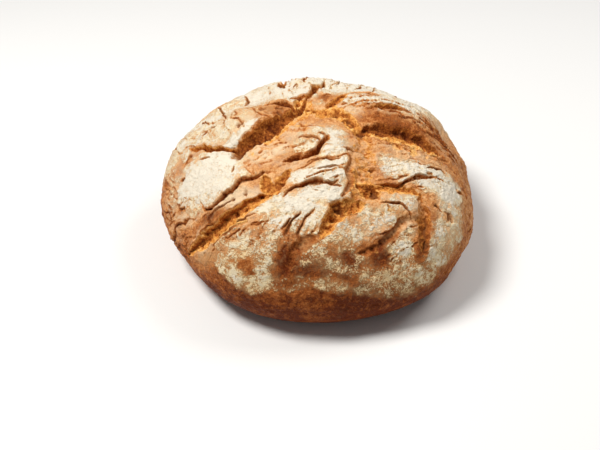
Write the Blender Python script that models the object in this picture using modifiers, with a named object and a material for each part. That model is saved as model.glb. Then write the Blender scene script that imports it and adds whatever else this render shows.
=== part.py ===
"""A round walnut loaf, baked free on a flat stone, as one solid of bread.

The dough has a flat base, a waist and a dome, and its crust burst open in the oven. Lengths are in
metres, +Z is up, and the origin is on the surface that the loaf stands on, under the middle of it.
Seen from the front, +X is to the right and +Y is away. A place on the crust is given as on the
crust peeled off and laid flat: how far right and how far back of the crown, along the curve.
"""

import math
from typing import NamedTuple

import bpy
import numpy as np
from mathutils import Vector, noise

# The loaf as a whole
LOAF_WIDTH = 0.245
LOAF_HEIGHT = 0.113
WAIST_HEIGHT = 0.036
BASE_INSET = 0.034
DOME_SIDE_POWER = 0.92
DOME_TOP_POWER = 1.01
CROWN_LEAN = (-0.0026, 0.0039)

# How often the outline bulges, by what share of the radius, and the side of the first bulge
LOBES = (
    (2, 0.010, math.radians(-22)),
    (4, 0.006, math.radians(8)),
    (5, 0.021, math.radians(31)),
    (6, 0.007, math.radians(-14)),
)

# Fineness of the dough before and after it is thinned out
CUBE_LEVELS = 7
SOLID_TRIANGLES = 10400
BASE_SNAP = 0.0004

# The uneven skin of the dough, and how ragged the edges of its tears are
LUMP_SIZE = 0.030
LUMP_HEIGHT = 0.0011
RAG_SIZE = 0.011
RAG_REACH = 0.0022
CRUMB_SIZE = 0.0050
CRUMB_HEIGHT = 0.0011
LIP_REACH = 0.011
SKIRT_START = 0.165
SKIRT_END = 0.200

# The colour of baked crust
CRUST_COLOUR = (0.42, 0.20, 0.085, 1.0)
CRUST_ROUGHNESS = 0.75


class Swell(NamedTuple):
    """A plate of crust that stands up, or a hollow where the height is below zero."""

    middle: tuple
    reach: tuple
    height: float


class Split(NamedTuple):
    """A line along which the crust parted. Left and right are those of somebody who walks it.

    The trough is where its deepest line lies, from -1 at the right edge to 1 at the left edge.
    """

    path: tuple
    half_width: float
    depth: float
    rise_left: float = 0.0
    rise_right: float = 0.0
    trough: float = 0.0


class Pit(NamedTuple):
    """A hole that a burst bubble or a nut left."""

    middle: tuple
    radius: float
    depth: float


SWELLS = (
    # The floury plates: left, front, centre, right and the small one between two tears
    Swell((-0.085, -0.048), (0.036, 0.026), 0.0030),
    Swell((-0.035, -0.108), (0.055, 0.028), 0.0040),
    Swell((0.008, -0.052), (0.020, 0.034), 0.0050),
    Swell((0.092, -0.082), (0.030, 0.046), 0.0040),
    Swell((0.060, -0.078), (0.016, 0.009), 0.0030),
    # The plates round the deep tear behind, and the tall one over the golden tear
    Swell((-0.050, -0.002), (0.032, 0.021), 0.0052),
    Swell((-0.056, -0.012), (0.012, 0.014), 0.0025),
    Swell((0.056, 0.019), (0.042, 0.020), 0.0080),
    Swell((0.014, 0.062), (0.054, 0.026), 0.0026),
    # The fold behind the centre plate, with the hollow in front of it
    Swell((-0.008, -0.024), (0.016, 0.010), 0.0030),
    Swell((-0.006, -0.041), (0.012, 0.008), -0.0030),
    # The lumps and dips of the outline
    Swell((-0.078, 0.052), (0.030, 0.020), 0.0030),
    Swell((0.094, 0.060), (0.018, 0.018), 0.0025),
    Swell((0.111, 0.030), (0.013, 0.018), -0.0040),
    Swell((0.128, 0.038), (0.016, 0.020), -0.0012),
    Swell((0.132, -0.006), (0.014, 0.016), -0.0034),
    Swell((0.148, -0.024), (0.016, 0.040), -0.0020),
    Swell((0.156, -0.088), (0.022, 0.024), -0.0046),
    Swell((-0.160, -0.036), (0.022, 0.026), 0.0010),
    Swell((-0.124, 0.024), (0.028, 0.026), 0.0006),
    # The back, which bulges between its own tears
    Swell((-0.085, 0.110), (0.040, 0.030), 0.0035),
    Swell((0.030, 0.130), (0.040, 0.026), 0.0030),
    Swell((0.112, 0.100), (0.030, 0.030), 0.0030),
)

SPLITS = (
    # The long tear at the front left, and the flame and the patch that it ends in
    Split(
        (
            (-0.125, -0.092), (-0.100, -0.096), (-0.080, -0.094),
            (-0.062, -0.088), (-0.040, -0.077), (-0.026, -0.076),
        ),
        half_width=0.0062, depth=0.0050, rise_left=0.0026, rise_right=0.0016, trough=0.4,
    ),
    Split(((-0.038, -0.060), (-0.037, -0.070), (-0.030, -0.078)), half_width=0.0045, depth=0.0036),
    Split(((-0.030, -0.076), (-0.026, -0.066), (-0.019, -0.057)), half_width=0.0040, depth=0.0026),
    # The deep tear behind it, up to the crown, the thin crack that goes on, and its side cracks
    Split(
        (
            (-0.062, -0.035), (-0.049, -0.027), (-0.037, -0.020),
            (-0.027, -0.012), (-0.018, 0.001),
        ),
        half_width=0.0072, depth=0.0088, rise_left=0.0046, trough=-0.5,
    ),
    Split(
        ((-0.026, -0.008), (-0.018, 0.000), (-0.012, 0.010), (-0.008, 0.024)),
        half_width=0.0042, depth=0.0070, rise_left=0.0024,
    ),
    Split(((-0.019, 0.011), (-0.015, 0.017), (-0.012, 0.024)), half_width=0.0030, depth=0.0024),
    Split(
        ((-0.009, 0.020), (-0.005, 0.034), (0.001, 0.048), (0.006, 0.062)),
        half_width=0.0022, depth=0.0055, rise_left=0.0020,
    ),
    Split(
        ((-0.042, 0.014), (-0.034, 0.018), (-0.024, 0.016), (-0.016, 0.006)),
        half_width=0.0032, depth=0.0050, rise_left=0.0026,
    ),
    Split(
        ((-0.022, 0.024), (-0.015, 0.025), (-0.008, 0.029)),
        half_width=0.0026, depth=0.0036, rise_left=0.0012,
    ),
    Split(
        ((-0.102, -0.004), (-0.092, -0.012), (-0.082, -0.020), (-0.070, -0.028), (-0.060, -0.034)),
        half_width=0.0032, depth=0.0065, rise_left=0.0010, rise_right=0.0010,
    ),
    # The golden tear from the crown to the right, under the tall plate
    Split(
        (
            (-0.010, 0.008), (0.002, 0.003), (0.012, 0.003),
            (0.021, -0.005), (0.027, -0.015), (0.032, -0.019),
        ),
        half_width=0.0062, depth=0.0026, rise_left=0.0008,
    ),
    Split(
        (
            (0.028, -0.018), (0.040, -0.015), (0.052, -0.015),
            (0.066, -0.013), (0.080, -0.014), (0.096, -0.015),
        ),
        half_width=0.0080, depth=0.0042, rise_left=0.0040, trough=0.8,
    ),
    # The torn valley right of the centre plate, deepest along that plate's edge
    Split(
        (
            (0.030, -0.018), (0.035, -0.030), (0.032, -0.044),
            (0.034, -0.058), (0.030, -0.070), (0.027, -0.080),
        ),
        half_width=0.0095, depth=0.0018, rise_left=0.0004, rise_right=0.0006,
    ),
    Split(
        ((0.021, -0.040), (0.026, -0.051), (0.021, -0.060), (0.025, -0.069), (0.018, -0.081)),
        half_width=0.0034, depth=0.0026, rise_right=0.0020, trough=-0.3,
    ),
    Split(((0.026, -0.070), (0.036, -0.072), (0.046, -0.073)), half_width=0.0060, depth=0.0044),
    # The lipped crack across the right plate, and the two arcs that run from it to the front
    Split(
        (
            (0.042, -0.067), (0.050, -0.065), (0.058, -0.064),
            (0.064, -0.057), (0.072, -0.051), (0.086, -0.046),
        ),
        half_width=0.0020, depth=0.0038, rise_left=0.0022,
    ),
    Split(((0.040, -0.070), (0.056, -0.067), (0.074, -0.066)), half_width=0.0034, depth=0.0026),
    Split(
        ((0.073, -0.067), (0.076, -0.076), (0.077, -0.086), (0.079, -0.096), (0.083, -0.108)),
        half_width=0.0052, depth=0.0032, rise_left=0.0012, trough=0.6,
    ),
    Split(
        (
            (0.075, -0.082), (0.066, -0.087), (0.058, -0.094),
            (0.053, -0.103), (0.046, -0.112), (0.030, -0.120),
        ),
        half_width=0.0034, depth=0.0022, rise_right=0.0010,
    ),
    # The torn pocket in front of the centre plate, and the wedge that it opens into
    Split(
        ((0.034, -0.082), (0.025, -0.087), (0.015, -0.090), (0.009, -0.099), (0.003, -0.110)),
        half_width=0.0062, depth=0.0046, rise_left=0.0012, rise_right=0.0026, trough=0.3,
    ),
    Split(
        ((0.003, -0.109), (-0.008, -0.110), (-0.015, -0.117), (-0.023, -0.126), (-0.028, -0.133)),
        half_width=0.0048, depth=0.0020,
    ),
    # The steps round the left plate and on the centre plate
    Split(
        (
            (-0.093, -0.064), (-0.090, -0.074), (-0.080, -0.076),
            (-0.070, -0.070), (-0.050, -0.060), (-0.030, -0.058),
        ),
        half_width=0.0018, depth=0.0024, rise_left=0.0028, trough=0.4,
    ),
    Split(
        ((-0.024, -0.050), (-0.015, -0.049), (-0.005, -0.048), (0.001, -0.043), (0.008, -0.028)),
        half_width=0.0030, depth=0.0056, rise_left=0.0020, rise_right=0.0008,
    ),
    Split(
        ((-0.024, -0.080), (-0.017, -0.072), (-0.008, -0.072), (0.001, -0.069), (0.016, -0.074)),
        half_width=0.0015, depth=0.0034, rise_left=0.0026, trough=0.3,
    ),
    # The slits in the plates behind the crown
    Split(
        ((0.008, 0.008), (0.013, 0.016), (0.018, 0.022), (0.024, 0.028)),
        half_width=0.0040, depth=0.0040, trough=0.3,
    ),
    Split(
        ((0.022, 0.029), (0.033, 0.030), (0.046, 0.026)),
        half_width=0.0022, depth=0.0030, rise_left=0.0015,
    ),
    Split(
        ((0.039, 0.005), (0.047, 0.011), (0.056, 0.013), (0.066, 0.012)),
        half_width=0.0026, depth=0.0048, rise_left=0.0014,
    ),
    Split(
        ((-0.027, 0.048), (-0.029, 0.064), (-0.026, 0.084), (-0.032, 0.104)),
        half_width=0.0046, depth=0.0080,
    ),
    # The folds low on the left side
    Split(
        ((-0.160, -0.056), (-0.152, -0.064), (-0.142, -0.067), (-0.131, -0.063)),
        half_width=0.0024, depth=0.0040, rise_left=0.0020,
    ),
    # The tears at the back: a long one over the left shoulder, and a forked one on the right
    Split(
        (
            (-0.116, 0.060), (-0.094, 0.084), (-0.068, 0.096),
            (-0.040, 0.103), (-0.014, 0.116), (0.012, 0.134),
        ),
        half_width=0.0056, depth=0.0064, rise_left=0.0030, rise_right=0.0020, trough=0.3,
    ),
    Split(
        (
            (0.034, 0.082), (0.050, 0.098), (0.068, 0.103),
            (0.090, 0.099), (0.112, 0.082), (0.130, 0.058),
        ),
        half_width=0.0054, depth=0.0056, rise_left=0.0025, rise_right=0.0030, trough=-0.3,
    ),
    Split(((0.072, 0.102), (0.074, 0.120), (0.088, 0.138)), half_width=0.0036, depth=0.0046),
)

PITS = (
    Pit((-0.060, -0.036), 0.0050, 0.0070),
    Pit((-0.029, 0.010), 0.0034, 0.0040),
    Pit((0.032, -0.019), 0.0042, 0.0050),
    Pit((0.041, -0.074), 0.0042, 0.0050),
    Pit((0.014, -0.090), 0.0036, 0.0030),
    Pit((0.100, -0.073), 0.0032, 0.0022),
)


def smooth_step(value, start, end):
    """0 before start, 1 after end, and an even slope between them."""
    share = np.clip((value - start) / (end - start), 0, 1)
    return share * share * (3 - 2 * share)


def profile(steps=240):
    """The outline of a cut through the loaf: its radius and height at each length from the crown."""
    turn = np.linspace(0, math.pi / 2, steps)
    radius = LOAF_WIDTH / 2
    dome = LOAF_HEIGHT - WAIST_HEIGHT
    across = np.concatenate([
        radius * np.sin(turn) ** DOME_SIDE_POWER,
        radius - BASE_INSET * (1 - np.cos(turn)),
        np.linspace(radius - BASE_INSET, 0, steps),
    ])
    up = np.concatenate([
        WAIST_HEIGHT + dome * np.cos(turn).clip(0) ** DOME_TOP_POWER,
        WAIST_HEIGHT * (1 - np.sin(turn)),
        np.zeros(steps),
    ])
    passed = np.concatenate([[0], np.cumsum(np.hypot(np.diff(across), np.diff(up)))])
    return passed, across, up


def crust_places(directions):
    """Where each direction from the middle of the dough lands on the crust, peeled and laid flat."""
    passed, _, _ = profile()
    around = np.arctan2(directions[:, 1], directions[:, 0])
    length = np.arccos(directions[:, 2].clip(-1, 1)) / math.pi * passed[-1]
    return length, around


def plain_loaf(length, around):
    """The loaf before it burst: a turned profile with a lobed outline and a crown that leans."""
    passed, across, up = profile()
    height = np.interp(length, passed, up)
    lobes = 1 + sum(share * np.cos(count * (around - side)) for count, share, side in LOBES)
    radius = np.interp(length, passed, across) * lobes
    crown = ((height - WAIST_HEIGHT) / (LOAF_HEIGHT - WAIST_HEIGHT)).clip(0)
    return np.stack([
        radius * np.cos(around) + CROWN_LEAN[0] * crown,
        radius * np.sin(around) + CROWN_LEAN[1] * crown,
        height,
    ], axis=1)


def rough(points, size, seed):
    """Even random waves of that size, from -1 to 1, the same on every run."""
    shift = Vector((seed * 7.3, seed * 3.1, seed * 5.7))
    return np.array([noise.fractal(Vector(p) / size + shift, 1.0, 2.0, 3) for p in points])


def rounded(path, times=2):
    """The path with its corners cut off, as a tear has none."""
    points = np.array(path)
    for _ in range(times):
        near = points[:-1] * 0.75 + points[1:] * 0.25
        far = points[:-1] * 0.25 + points[1:] * 0.75
        middle = np.stack([near, far], axis=1).reshape(-1, 2)
        points = np.concatenate([points[:1], middle, points[-1:]])
    return points


def from_path(path, places):
    """Each place's distance from a path, positive on its left, and the share of the path passed."""
    points = rounded(path)
    runs = np.hypot(*np.diff(points, axis=0).T)
    starts = np.concatenate([[0], np.cumsum(runs)])
    nearest = np.full(len(places), np.inf)
    side = np.zeros(len(places))
    share = np.zeros(len(places))
    for start, end, run, before in zip(points, points[1:], runs, starts):
        ahead = (end - start) / run
        offset = places - start
        along = (offset @ ahead).clip(0, run)
        apart = np.hypot(*(offset - along[:, None] * ahead).T)
        left = ahead[0] * offset[:, 1] - ahead[1] * offset[:, 0]
        closer = apart < nearest
        nearest = np.where(closer, apart, nearest)
        side = np.where(closer, np.sign(left), side)
        share = np.where(closer, (before + along) / starts[-1], share)
    return nearest * side, share


def swell_height(places):
    """How far the plates stand up, and the hollows go down."""
    total = np.zeros(len(places))
    for swell in SWELLS:
        offset = (places - swell.middle) / swell.reach
        total += swell.height * np.exp(-((offset**2).sum(axis=1) ** 1.5))
    return total


def split_shape(split, places):
    """How far the crust is up beside a split, how open it is from 0 to 1, and how far down it goes."""
    side, share = from_path(split.path, places)
    taper = np.sqrt(np.sin(math.pi * share).clip(0.02))
    across = side / (split.half_width * taper)
    past_trough = np.where(
        across > split.trough,
        (across - split.trough) / (1 - split.trough),
        (split.trough - across) / (1 + split.trough),
    )
    down = split.depth * taper * (1 - past_trough.clip(0, 1) ** 1.6)
    opened = 1 - smooth_step(np.abs(across), 0.75, 1.1)
    rise = np.where(side > 0, split.rise_left, split.rise_right)
    beyond = (np.abs(side) - split.half_width * taper).clip(0)
    ends = smooth_step(np.hypot(*(places - split.path[0]).T), 0, LIP_REACH)
    ends *= smooth_step(np.hypot(*(places - split.path[-1]).T), 0, LIP_REACH)
    up = rise * taper * ends * np.exp(-beyond / LIP_REACH)
    return up, opened, down


def burst_height(points, places):
    """The height of the burst crust over the plain loaf, at each point."""
    ragged = places + RAG_REACH * np.stack([rough(points, RAG_SIZE, 1), rough(points, RAG_SIZE, 2)], axis=1)
    up = np.zeros(len(places))
    opened = np.zeros(len(places))
    down = np.zeros(len(places))
    for split in SPLITS:
        one_up, one_opened, one_down = split_shape(split, ragged)
        up = np.maximum(up, one_up)
        opened = np.maximum(opened, one_opened)
        down = np.maximum(down, one_down)
    for pit in PITS:
        apart = np.hypot(*(ragged - pit.middle).T)
        down += pit.depth * np.exp(-((apart / pit.radius) ** 2))
    plates = swell_height(places) + LUMP_HEIGHT * rough(points, LUMP_SIZE, 3) + up * (1 - opened)
    crumb = CRUMB_HEIGHT * rough(points, CRUMB_SIZE, 4) * opened
    return plates + crumb - down


def shape_dough(mesh):
    """Turns the fine ball into the loaf: first the plain loaf, then the burst crust on it."""
    ball = np.empty(len(mesh.vertices) * 3, np.float32)
    mesh.vertices.foreach_get("co", ball)
    ball = ball.reshape(-1, 3).astype(float)
    ball /= np.linalg.norm(ball, axis=1, keepdims=True)
    length, around = crust_places(ball)
    points = plain_loaf(length, around)
    mesh.vertices.foreach_set("co", points.astype(np.float32).ravel())
    mesh.update()
    outwards = np.array([corner.vector[:] for corner in mesh.vertex_normals])
    places = np.stack([length * np.cos(around), length * np.sin(around)], axis=1)
    height = burst_height(points, places) * (1 - smooth_step(length, SKIRT_START, SKIRT_END))
    points += outwards * height[:, None]
    points[:, 2] = points[:, 2].clip(0)
    mesh.vertices.foreach_set("co", points.astype(np.float32).ravel())
    mesh.update()


def apply_modifier(loaf, kind, **settings):
    """Adds one modifier with its settings and makes its result the mesh."""
    modifier = loaf.modifiers.new(kind.title(), kind)
    for name, value in settings.items():
        setattr(modifier, name, value)
    bpy.ops.object.modifier_apply(modifier=modifier.name)


def settle(mesh):
    """Lays the base flat on the ground and brings the middle of the loaf over the origin."""
    points = np.empty(len(mesh.vertices) * 3, np.float32)
    mesh.vertices.foreach_get("co", points)
    points = points.reshape(-1, 3)
    points[points[:, 2] < BASE_SNAP, 2] = 0
    points[:, :2] -= (points[:, :2].min(axis=0) + points[:, :2].max(axis=0)) / 2
    mesh.vertices.foreach_set("co", points.ravel())
    mesh.update()


def crust_material():
    material = bpy.data.materials.new("crust")
    material.use_nodes = True
    shader = material.node_tree.nodes["Principled BSDF"]
    shader.inputs["Base Color"].default_value = CRUST_COLOUR
    shader.inputs["Roughness"].default_value = CRUST_ROUGHNESS
    shader.inputs["Metallic"].default_value = 0.0
    return material


def build_loaf():
    """A cube is divided and rounded to a ball, shaped, and thinned where its surface is even."""
    bpy.ops.mesh.primitive_cube_add(size=2)
    loaf = bpy.context.object
    loaf.name = "loaf"
    apply_modifier(
        loaf, "SUBSURF", subdivision_type="SIMPLE", levels=CUBE_LEVELS, render_levels=CUBE_LEVELS
    )
    apply_modifier(loaf, "CAST", cast_type="SPHERE", factor=1.0)
    shape_dough(loaf.data)
    apply_modifier(loaf, "DECIMATE", ratio=SOLID_TRIANGLES / (2 * len(loaf.data.polygons)))
    settle(loaf.data)
    loaf.data.shade_smooth()
    loaf.data.materials.append(crust_material())
    return loaf


def main():
    for leftover in list(bpy.data.objects):
        bpy.data.objects.remove(leftover)
    bread = bpy.data.collections.new("Walnut loaf")
    bpy.context.scene.collection.children.link(bread)
    loaf = build_loaf()
    for holder in list(loaf.users_collection):
        holder.objects.unlink(loaf)
    bread.objects.link(loaf)


main()
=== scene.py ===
"""The looks of a round walnut loaf: a floured, browned crust that burst open over golden crumb.

Lengths are in metres and +Z is up. Seen from the front, +X is to the right and +Y is away. A place on
the crust is given as on the crust peeled off and laid flat: how far right and how far back of the crown,
along the curve.
"""

import math
from typing import NamedTuple

import bpy
import numpy as np
from mathutils import Matrix, Vector, noise


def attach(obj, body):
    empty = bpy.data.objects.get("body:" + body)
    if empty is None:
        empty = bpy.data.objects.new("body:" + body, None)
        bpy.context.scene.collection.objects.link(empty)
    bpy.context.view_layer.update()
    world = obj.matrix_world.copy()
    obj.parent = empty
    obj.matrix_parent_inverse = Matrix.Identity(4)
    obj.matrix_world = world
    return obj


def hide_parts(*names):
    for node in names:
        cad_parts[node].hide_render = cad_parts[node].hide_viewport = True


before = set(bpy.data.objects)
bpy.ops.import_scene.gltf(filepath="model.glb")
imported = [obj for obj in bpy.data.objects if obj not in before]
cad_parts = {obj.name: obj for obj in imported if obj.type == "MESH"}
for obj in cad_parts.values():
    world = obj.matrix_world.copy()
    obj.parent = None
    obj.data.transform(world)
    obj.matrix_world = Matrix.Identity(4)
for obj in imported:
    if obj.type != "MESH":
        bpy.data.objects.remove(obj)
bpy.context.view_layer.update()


# The camera stands in front of the loaf and looks down on it, as somebody at the table does,
# from about 0.7 metres away.
CAMERA_DISTANCE = 0.70
CAMERA_RISE = math.radians(37)
CAMERA_PIVOT_HEIGHT = 0.050
CAMERA_AIM = Vector((-0.0126, -0.0388, 0.040))
CAMERA_LENS = 53.0
CAMERA_ROLL = math.radians(-0.5)

camera_place = Vector((
    0,
    -CAMERA_DISTANCE * math.cos(CAMERA_RISE),
    CAMERA_PIVOT_HEIGHT + CAMERA_DISTANCE * math.sin(CAMERA_RISE),
))
camera_turn = (CAMERA_AIM - camera_place).to_track_quat("-Z", "Y").to_matrix().to_4x4()
bpy.ops.object.camera_add(location=camera_place)
camera = bpy.context.object
camera.data.lens = CAMERA_LENS
camera.matrix_world = (
    Matrix.Translation(camera_place) @ camera_turn @ Matrix.Rotation(CAMERA_ROLL, 4, "Z")
)
bpy.context.scene.camera = camera


# A plain pale floor under one large soft lamp, high on the left, and a weak one behind on the right.
# A dim white sky fills the shadows.
FLOOR_SIZE = 6.0
FLOOR_COLOUR = (0.80, 0.795, 0.785, 1)
KEY_PLACE = Vector((-0.53, -0.17, 1.15))
KEY_SIZE = 0.45
KEY_POWER = 16.8
RIM_PLACE = Vector((0.66, 0.26, 0.95))
RIM_SIZE = 0.6
RIM_POWER = 5.5
LAMP_COLOUR = (1.0, 0.985, 0.96)
SKY_STRENGTH = 0.20

bpy.ops.object.select_all(action="DESELECT")
bpy.ops.mesh.primitive_plane_add(size=FLOOR_SIZE)
floor = bpy.context.object
floor.name = "floor"
floor_finish = bpy.data.materials.new("pale floor")
floor_finish.use_nodes = True
floor_shader = floor_finish.node_tree.nodes["Principled BSDF"]
floor_shader.inputs["Base Color"].default_value = FLOOR_COLOUR
floor_shader.inputs["Roughness"].default_value = 0.9
floor_shader.inputs["Specular IOR Level"].default_value = 0.1
floor.data.materials.append(floor_finish)

for lamp_name, lamp_place, lamp_size, lamp_power in (
    ("key", KEY_PLACE, KEY_SIZE, KEY_POWER),
    ("rim", RIM_PLACE, RIM_SIZE, RIM_POWER),
):
    bpy.ops.object.light_add(type="AREA", location=lamp_place)
    lamp = bpy.context.object
    lamp.name = lamp_name
    lamp.rotation_euler = (-lamp_place).to_track_quat("-Z", "Y").to_euler()
    lamp.data.shape = "DISK"
    lamp.data.size = lamp_size
    lamp.data.energy = lamp_power
    lamp.data.color = LAMP_COLOUR

sky = bpy.data.worlds.new("studio")
sky.use_nodes = True
sky.node_tree.nodes["Background"].inputs["Color"].default_value = (1, 1, 1, 1)
sky.node_tree.nodes["Background"].inputs["Strength"].default_value = SKY_STRENGTH
bpy.context.scene.world = sky
bpy.context.scene.view_settings.view_transform = "Standard"


# The loaf was rolled in flour, set down on its seam and baked free on a flat stone. Its skin set
# first, and the rising dough burst it into plates with deep tears between them.
LOAF_WIDTH = 0.245
LOAF_HEIGHT = 0.113
WAIST_HEIGHT = 0.036
BASE_INSET = 0.034
DOME_SIDE_POWER = 0.92
DOME_TOP_POWER = 1.01
CROWN_LEAN = (-0.0026, 0.0039)
LOBES = (
    (2, 0.010, math.radians(-22)),
    (4, 0.006, math.radians(8)),
    (5, 0.021, math.radians(31)),
    (6, 0.007, math.radians(-14)),
)
CUBE_LEVELS = 8
LOAF_TRIANGLES = 194000
BASE_SNAP = 0.0004
LUMP_SIZE = 0.030
LUMP_HEIGHT = 0.0011
# Edges wander by the rag and the fray, and flour ends more raggedly than skin
RAG_SIZE = 0.011
RAG_REACH = 0.0022
FRAY_SIZE = 0.0034
FRAY_REACH = 0.0003
FLOUR_FRAY_REACH = 0.0014
TEAR_REACH = 0.045
TROUGH_ROUNDNESS = 2.2
SKIN_EDGE = (0.88, 1.22)
STRAND_WIDTH = 0.0019
STRAND_LENGTH = 0.0080
LIP_EDGE = 1.04
LIP_EDGE_WIDTH = 0.2
LIP_REACH = 0.011
LIP_OVERHANG = 0.35
LEAN_REACH = 0.003
LOOSE_HALF_WIDTH = 0.006
TOASTED_SMOOTHNESS = 0.6
END_TAPER = 0.02
SKIRT_START = 0.165
SKIRT_END = 0.200


class Swell(NamedTuple):
    """A plate of crust that stands up, or a hollow where the height is below zero."""

    middle: tuple
    reach: tuple
    height: float


class Split(NamedTuple):
    """A line along which the crust parted. Left and right are those of somebody who walks it.

    The trough is where its deepest line lies, from -1 at the right edge to 1 at the left edge.
    Crumb is how much of the golden inside shows, strands is how far its torn fibres stand out, and
    toast is how dark the wall that faces the front is painted: partly crumb toasted darker, partly
    painted shade.
    """

    path: tuple
    half_width: float
    depth: float
    rise_left: float = 0.0
    rise_right: float = 0.0
    trough: float = 0.0
    crumb: float = 1.0
    strands: float = 0.0008
    toast_and_shade: float = 0.5


class Stretch(NamedTuple):
    """A part of the skin that was pulled one way, so that wrinkles and thin ledges run across it."""

    middle: tuple
    reach: tuple
    heading: float
    gap: float
    height: float


class Pit(NamedTuple):
    """A hole that a burst bubble or a nut left."""

    middle: tuple
    radius: float
    depth: float


SWELLS = (
    # The floury plates: left, front, centre, right and the small one between two tears
    Swell((-0.085, -0.048), (0.036, 0.026), 0.0030),
    Swell((-0.035, -0.108), (0.055, 0.028), 0.0040),
    Swell((0.008, -0.052), (0.020, 0.034), 0.0050),
    Swell((0.092, -0.082), (0.030, 0.046), 0.0040),
    Swell((0.060, -0.078), (0.016, 0.009), 0.0030),
    # The plates round the deep tear behind, and the tall one over the golden tear
    Swell((-0.050, -0.002), (0.032, 0.021), 0.0052),
    Swell((-0.056, -0.012), (0.012, 0.014), 0.0025),
    Swell((0.051, 0.019), (0.037, 0.020), 0.0078),
    Swell((0.014, 0.062), (0.054, 0.026), 0.0026),
    # The fold behind the centre plate, with the hollow in front of it
    Swell((-0.008, -0.024), (0.016, 0.010), 0.0030),
    Swell((-0.006, -0.041), (0.012, 0.008), -0.0030),
    # The lumps and dips of the outline
    Swell((-0.078, 0.052), (0.030, 0.020), 0.0030),
    Swell((-0.052, 0.040), (0.011, 0.017), -0.0024),
    Swell((0.014, 0.052), (0.011, 0.015), -0.0018),
    Swell((0.118, -0.104), (0.020, 0.016), -0.0020),
    Swell((0.094, 0.060), (0.018, 0.018), 0.0025),
    Swell((0.111, 0.030), (0.013, 0.018), -0.0040),
    Swell((0.128, 0.038), (0.016, 0.020), -0.0012),
    Swell((0.132, -0.006), (0.014, 0.016), -0.0034),
    Swell((0.148, -0.024), (0.016, 0.040), -0.0020),
    Swell((0.156, -0.088), (0.022, 0.024), -0.0046),
    Swell((-0.160, -0.036), (0.022, 0.026), 0.0010),
    Swell((-0.124, 0.024), (0.028, 0.026), 0.0006),
    # The back, which bulges between its own tears
    Swell((-0.085, 0.110), (0.040, 0.030), 0.0035),
    Swell((0.030, 0.130), (0.040, 0.026), 0.0030),
    Swell((0.112, 0.100), (0.030, 0.030), 0.0030),
)

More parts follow.
